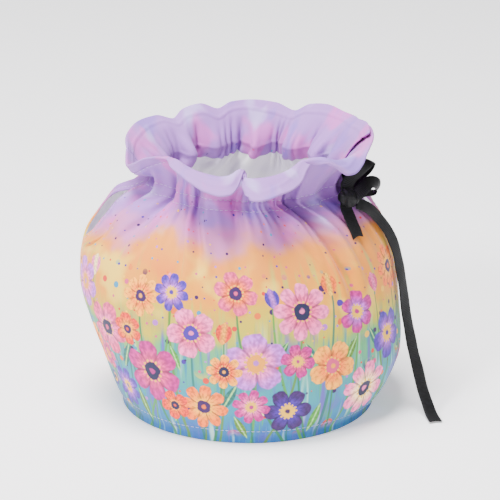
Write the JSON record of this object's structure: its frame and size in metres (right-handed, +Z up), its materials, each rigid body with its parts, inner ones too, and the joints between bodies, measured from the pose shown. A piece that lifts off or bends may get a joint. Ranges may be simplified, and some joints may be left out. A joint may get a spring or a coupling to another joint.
{
  "type": "tea cosy",
  "caption": "Drawstring fabric tea cosy: rounded body with a gathered neck, stand-up ruffle, spout opening, handle slit and a tied ribbon.",
  "frame": {"origin": "middle of the cloth's width and depth, on the level the hem rests on", "axes": "+Z up, +X towards the handle slit, -X towards the spout opening, -Y out of the front panel"},
  "size_m": [0.2323, 0.181, 0.1824],
  "materials": {
    "printed_cloth": "matt printed polyester, lilac over yellow over aqua",
    "black_ribbon": "black ribbed ribbon"
  },
  "bodies": {
    "root": {"front_panel": "printed_cloth", "back_panel": "printed_cloth", "ribbon_knot": "black_ribbon", "ribbon_tail_long": "black_ribbon", "ribbon_tail_short": "black_ribbon", "ribbon_loop_upper": "black_ribbon", "ribbon_loop_handle": "black_ribbon", "ribbon_lead_front": "black_ribbon", "ribbon_lead_back": "black_ribbon"}
  },
  "joints": []
}
